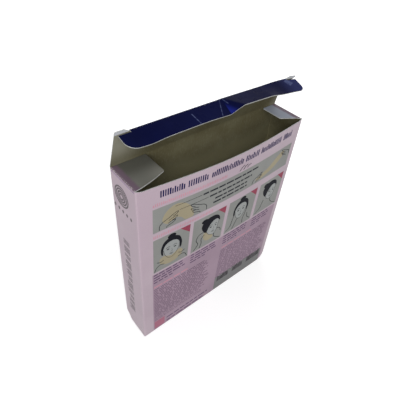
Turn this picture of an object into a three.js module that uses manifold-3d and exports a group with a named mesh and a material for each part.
import * as THREE from 'three';
import { mergeVertices } from 'three/addons/utils/BufferGeometryUtils.js';
import Module from 'manifold-3d';

// A flat folding carton of thin coated board, standing on its closed bottom with its lid half open.
// The sleeve, the bottom and the two dust flaps are one folded sheet. The lid turns on the top
// edge of the back wall, and the tuck flap turns on the lid's free edge.
// Millimetres, +Z up, origin at the middle of the bottom; the printed front wall faces -Y.

const wasm = await Module();
wasm.setup();

// Sheet and carton
const width = 132.5;
const depth = 25.7;
const height = 150;
const board = 0.5;
const bottomThickness = 1.0;
const cornerInnerRadius = 0.5;
const foldInnerRadius = 0.3;

// Front wall: its free top edge bows outward and the bow fades towards the bottom
const frontBulge = 5.2;
const bulgePinch = 1.3;
const bulgeFade = 1.6;

// Glue lap inside the left wall
const lapWidth = 13;
const lapTaper = 5;
const lapEndGap = 3;

// Dust flaps, folded in from the side walls: reach, and how far the tip stands back from the front
const leftFlapReach = 22.2;
const leftTipSetback = 6.5;
const leftEdgeCurve = 0.06;
const rightFlapReach = 13.2;
const rightTipSetback = 8.8;
const rightEdgeCurve = 0.38;
const flapBackClearance = 0.5;
const flapTipRadius = 0.8;
const flapBendShare = 0.35;

// Lid and the slit ledges that stand past its crease at both ends
const lidReach = 25.7;
const lidSideGap = 0.3;
const ledgeReach = 1.6;
const ledgeFlat = 5.2;
const slitLength = 8;
const lidOpenAngle = THREE.MathUtils.degToRad(69.5);

// The lid's right end is bent a little towards the mouth
const lidEndBend = 1.0;
const lidEndLength = 14;

// Tuck flap
const tuckReach = 12.3;
const tuckInset = 1.5;
const tuckCornerLeft = 6;
const tuckCornerRight = 4.5;
const tuckFoldAngle = THREE.MathUtils.degToRad(81);

// Warp of the tuck flap: angles away from its flat plane, in degrees, and places from the left end
const leftSagAngle = -4;
const leftSagPlace = 14;
const leftSagSpread = 7;
const creaseSagAngle = -5;
const creaseSagSpread = 11;
const dentPlace = 68;
const dentSpread = 9;
const liftAngle = 11.4;
const liftFade = 0.11;
const droopAngle = 10;
const droopStart = 110;

// Clearance that each turning fold keeps to the sheet it turns on
const foldGap = 0.3;

// Fineness of the faceted surfaces
const wallSteps = 14;
const bulgeSteps = 26;
const arcSteps = 4;
const lidSteps = 48;
const warpSteps = 64;

const left = -width / 2;
const right = width / 2;
const front = -depth / 2;
const back = depth / 2;
const cornerRadius = cornerInnerRadius + board;
const foldRadius = foldInnerRadius + board;
const flapFrontY = front + cornerRadius;
const flapBackY = back - board - flapBackClearance;
const hingeY = back - board / 2;
const hingeZ = height + board / 2;

// Reads a closed mesh into a solid
function toSolid(geometry) {
  const bare = geometry.clone();
  bare.deleteAttribute('normal');
  bare.deleteAttribute('uv');
  const merged = mergeVertices(bare, 1e-4);
  const mesh = new wasm.Mesh({
    numProp: 3,
    vertProperties: new Float32Array(merged.attributes.position.array),
    triVerts: new Uint32Array(merged.index.array),
  });
  return new wasm.Manifold(mesh);
}

function toGeometry(solid) {
  const mesh = solid.getMesh();
  const geometry = new THREE.BufferGeometry();
  geometry.setAttribute('position', new THREE.BufferAttribute(new Float32Array(mesh.vertProperties), 3));
  geometry.setIndex(new THREE.BufferAttribute(new Uint32Array(mesh.triVerts), 1));
  geometry.computeVertexNormals();
  return geometry;
}

// Extrudes an outline drawn in the plane of two directions, along their cross product
function extrude(shape, length, xAxis, yAxis, origin, steps = 1) {
  const geometry = new THREE.ExtrudeGeometry(shape, {
    depth: length,
    steps,
    bevelEnabled: false,
    curveSegments: arcSteps,
  });
  const zAxis = new THREE.Vector3().crossVectors(xAxis, yAxis);
  const placement = new THREE.Matrix4().makeBasis(xAxis, yAxis, zAxis).setPosition(origin);
  return geometry.applyMatrix4(placement);
}

function block(x0, x1, y0, y1, z0, z1) {
  const box = new THREE.BoxGeometry(x1 - x0, y1 - y0, z1 - z0);
  box.translate((x0 + x1) / 2, (y0 + y1) / 2, (z0 + z1) / 2);
  return toSolid(box);
}

const alongX = new THREE.Vector3(1, 0, 0);
const alongY = new THREE.Vector3(0, 1, 0);
const alongZ = new THREE.Vector3(0, 0, 1);

// Rectangle with round corners, its front side divided so that it can bow
function wallOutline(inset) {
  const radius = cornerRadius - inset;
  const x = width / 2 - inset - radius;
  const y = depth / 2 - inset - radius;
  const points = [];
  for (let i = 0; i <= bulgeSteps; i += 1) {
    points.push(new THREE.Vector2(-x + (2 * x * i) / bulgeSteps, -y - radius));
  }
  const corners = [[x, -y, -90], [x, y, 0], [-x, y, 90], [-x, -y, 180]];
  for (const [cx, cy, start] of corners) {
    for (let i = 0; i <= arcSteps; i += 1) {
      const angle = THREE.MathUtils.degToRad(start + (90 * i) / arcSteps);
      points.push(new THREE.Vector2(cx + radius * Math.cos(angle), cy + radius * Math.sin(angle)));
    }
  }
  const closed = points.filter((point, i) => i === 0 || point.distanceTo(points[i - 1]) > 1e-6);
  if (closed[0].distanceTo(closed[closed.length - 1]) < 1e-6) closed.pop();
  return closed;
}

// How far the front wall stands out of its flat plane
function bulgeAt(x, z) {
  const span = width - 2 * cornerRadius;
  const across = Math.abs(x) < span / 2 ? Math.cos((Math.PI * x) / span) : 0;
  const up = Math.max(0, z / height);
  return frontBulge * across ** bulgePinch * up ** bulgeFade;
}

// Upright block in the shape of the sleeve, set in from its outer face, with the front bowed
function sleeveBlock(inset, foot, top) {
  const outline = new THREE.Shape(wallOutline(inset));
  const tube = extrude(outline, top - foot, alongX, alongY, new THREE.Vector3(0, 0, foot), wallSteps);
  const position = tube.attributes.position;
  for (let i = 0; i < position.count; i += 1) {
    if (position.getY(i) < 0) {
      position.setY(i, position.getY(i) - bulgeAt(position.getX(i), position.getZ(i)));
    }
  }
  return toSolid(tube);
}

// Four walls and the closed bottom
function sleeve() {
  return sleeveBlock(0, 0, height).subtract(sleeveBlock(board, bottomThickness, height));
}

// Strip that joins the sheet's two ends, glued flat inside the left wall
function glueLap() {
  const top = height - board - lapEndGap;
  const foot = bottomThickness + lapEndGap;
  const shape = new THREE.Shape();
  shape.moveTo(flapFrontY, foot);
  shape.lineTo(flapFrontY + lapWidth, foot + lapTaper);
  shape.lineTo(flapFrontY + lapWidth, top - lapTaper);
  shape.lineTo(flapFrontY, top);
  const origin = new THREE.Vector3(left + board / 2, 0, 0);
  return toSolid(extrude(shape, board * 1.5, alongY, alongZ, origin));
}

// Dust flap seen from above, with its slanting front edge; side is -1 for left and 1 for right
function dustFlapOutline(side, reach, tipSetback, edgeCurve) {
  const root = (side * width) / 2;
  const tip = root - side * reach;
  const yTip = front + tipSetback;
  const bendX = root - side * reach * flapBendShare;
  const bend = new THREE.Vector2(bendX, flapFrontY + (yTip - flapFrontY) * edgeCurve);
  const slope = new THREE.Vector2(tip, yTip).sub(bend).normalize().multiplyScalar(flapTipRadius);
  const shape = new THREE.Shape();
  shape.moveTo(root + side, flapFrontY);
  shape.lineTo(root, flapFrontY);
  shape.quadraticCurveTo(bend.x, bend.y, tip - slope.x, yTip - slope.y);
  shape.quadraticCurveTo(tip, yTip, tip, yTip + flapTipRadius);
  shape.lineTo(tip, flapBackY - flapTipRadius);
  shape.quadraticCurveTo(tip, flapBackY, tip + side * flapTipRadius, flapBackY);
  shape.lineTo(root + side, flapBackY);
  return shape;
}

// Section of a side wall's top that turns inward into its dust flap
function foldSection(side, reach) {
  const outer = (side * width) / 2;
  const centre = outer - side * foldRadius;
  const tip = outer - side * (reach + 1);
  const foot = height - foldRadius;
  const shape = new THREE.Shape();
  const start = side < 0 ? Math.PI : 0;
  shape.absarc(centre, foot, foldRadius, start, Math.PI / 2, side < 0);
  shape.lineTo(tip, height);
  shape.lineTo(tip, height - board);
  shape.absarc(centre, foot, foldInnerRadius, Math.PI / 2, start, side > 0);
  return shape;
}

function dustFlap(side, reach, tipSetback, edgeCurve) {
  const section = foldSection(side, reach);
  const strip = extrude(section, depth, alongX, alongZ, new THREE.Vector3(0, back, 0));
  const outline = dustFlapOutline(side, reach, tipSetback, edgeCurve);
  const low = new THREE.Vector3(0, 0, height - 2 * foldRadius);
  const mask = extrude(outline, 4 * foldRadius, alongX, alongY, low);
  return toSolid(strip).intersect(toSolid(mask));
}

// Room for a dust flap's fold at the top of a side wall
function foldNotch(side) {
  const outer = side * (width / 2 + 1);
  const inner = side * (width / 2 - 2 * board);
  const low = height - foldRadius;
  const x0 = Math.min(outer, inner);
  const x1 = Math.max(outer, inner);
  return block(x0, x1, flapFrontY, flapBackY, low, height + 1);
}

function cartonBody() {
  const backNotch = block(left - 1, right + 1, flapBackY, back + 1, height - foldGap, height + 1);
  return sleeve()
    .subtract(foldNotch(-1))
    .subtract(foldNotch(1))
    .subtract(backNotch)
    .add(glueLap())
    .add(dustFlap(-1, leftFlapReach, leftTipSetback, leftEdgeCurve))
    .add(dustFlap(1, rightFlapReach, rightTipSetback, rightEdgeCurve));
}

// Section of a turning panel: a straight sheet whose root is rounded about its own axis
function panelSection(reach, steps) {
  const half = board / 2;
  const shape = new THREE.Shape();
  shape.moveTo(reach, half);
  for (let i = 1; i <= steps; i += 1) shape.lineTo(reach * (1 - i / steps), half);
  shape.absarc(0, 0, half, Math.PI / 2, Math.PI * 1.5, false);
  for (let i = 1; i <= steps; i += 1) shape.lineTo((reach * i) / steps, -half);
  return shape;
}

function panelSheet(reach, steps, lengthSteps) {
  const origin = new THREE.Vector3(right, 0, 0);
  const section = panelSection(reach, steps);
  return extrude(section, width, alongY.clone().negate(), alongZ, origin, lengthSteps);
}

// Cuts a sheet to an outline drawn from above, y running back from the axis
function cutTo(outline, sheet) {
  const tall = 10 * board + tuckReach;
  const origin = new THREE.Vector3(0, 0, -tall);
  return toSolid(sheet).intersect(toSolid(extrude(outline, 2 * tall, alongX, alongY, origin)));
}

// Lid outline with a ledge past the crease at each end
function lidOutline() {
  const x0 = left + lidSideGap;
  const x1 = right - lidSideGap;
  const creaseEnd = -(lidReach - board / 2 - foldGap);
  const ledgeEnd = -(lidReach + ledgeReach);
  const round = ledgeReach / 2;
  const shape = new THREE.Shape();
  shape.moveTo(x1, board);
  shape.lineTo(x0, board);
  shape.lineTo(x0, ledgeEnd + round);
  shape.quadraticCurveTo(x0, ledgeEnd, x0 + round, ledgeEnd);
  shape.lineTo(x0 + ledgeFlat, ledgeEnd);
  shape.lineTo(x0 + slitLength, creaseEnd);
  shape.lineTo(x1 - slitLength, creaseEnd);
  shape.lineTo(x1 - ledgeFlat, ledgeEnd);
  shape.lineTo(x1 - round, ledgeEnd);
  shape.quadraticCurveTo(x1, ledgeEnd, x1, ledgeEnd + round);
  return shape;
}

function lidPanel() {
  const sheet = panelSheet(lidReach + ledgeReach + board, 6, lidSteps);
  const position = sheet.attributes.position;
  for (let i = 0; i < position.count; i += 1) {
    const out = Math.max(0, -position.getY(i)) / lidReach;
    const along = Math.max(0, 1 - (right - position.getX(i)) / lidEndLength);
    position.setZ(i, position.getZ(i) - lidEndBend * along ** 2 * out ** 1.5);
  }
  return cutTo(lidOutline(), sheet);
}

// Tuck flap outline: its root lies between the slits, and its free corners are round
function tuckOutline() {
  const x0 = left + tuckInset;
  const x1 = right - tuckInset;
  const rootLeft = left + lidSideGap + slitLength + foldGap;
  const rootRight = -rootLeft;
  const slitEnd = -(ledgeReach + foldGap);
  const shape = new THREE.Shape();
  shape.moveTo(rootRight, board);
  shape.lineTo(rootLeft, board);
  shape.lineTo(rootLeft, slitEnd);
  shape.lineTo(x0, slitEnd);
  shape.lineTo(x0, -tuckReach + tuckCornerLeft);
  shape.absarc(x0 + tuckCornerLeft, -tuckReach + tuckCornerLeft, tuckCornerLeft, Math.PI, Math.PI * 1.5, false);
  shape.lineTo(x1 - tuckCornerRight, -tuckReach);
  shape.absarc(x1 - tuckCornerRight, -tuckReach + tuckCornerRight, tuckCornerRight, -Math.PI / 2, 0, false);
  shape.lineTo(x1, slitEnd);
  shape.lineTo(rootRight, slitEnd);
  return shape;
}

// Angle in degrees by which the tuck flap leaves its flat plane, at a place from its left end.
// Left of the dent it sags a little twice; right of it the flap is sprung up, and its end droops.
function warpAngle(place, out) {
  const firstSag = leftSagAngle * Math.exp(-(((place - leftSagPlace) / leftSagSpread) ** 2));
  const secondSag = creaseSagAngle * Math.exp(-(((place - dentPlace) / creaseSagSpread) ** 2));
  const droop = Math.max(0, (place - droopStart) / (width - droopStart)) ** 2;
  const lift = liftAngle - liftFade * (place - dentPlace) - droopAngle * droop;
  const dentWidth = (dentSpread * Math.max(out, board)) / tuckReach;
  const turn = THREE.MathUtils.clamp((place - dentPlace) / dentWidth + 1 / dentSpread, 0, 1);
  return THREE.MathUtils.lerp(firstSag + secondSag, lift, turn);
}

function tuckFlap() {
  const sheet = panelSheet(tuckReach + board, 6, warpSteps);
  const position = sheet.attributes.position;
  for (let i = 0; i < position.count; i += 1) {
    const out = Math.max(0, -position.getY(i));
    const angle = THREE.MathUtils.degToRad(warpAngle(position.getX(i) - left, out));
    position.setZ(i, position.getZ(i) + out * Math.sin(angle));
  }
  return cutTo(tuckOutline(), sheet);
}

function makeMesh(name, solid, color, roughness) {
  const material = new THREE.MeshStandardMaterial({ color, roughness, metalness: 0 });
  const mesh = new THREE.Mesh(toGeometry(solid), material);
  mesh.name = name;
  return mesh;
}

const group = new THREE.Group();
group.add(makeMesh('carton_body', cartonBody(), 0xd9c3d6, 0.55));

const lid = new THREE.Group();
lid.position.set(0, hingeY, hingeZ);
lid.rotation.x = -lidOpenAngle;
lid.add(makeMesh('lid_panel', lidPanel(), 0x8f8d84, 0.8));
group.add(lid);

const tuck = new THREE.Group();
tuck.position.set(0, -lidReach, 0);
tuck.rotation.x = tuckFoldAngle;
tuck.add(makeMesh('tuck_flap', tuckFlap(), 0x141a4c, 0.35));
lid.add(tuck);

export default group;
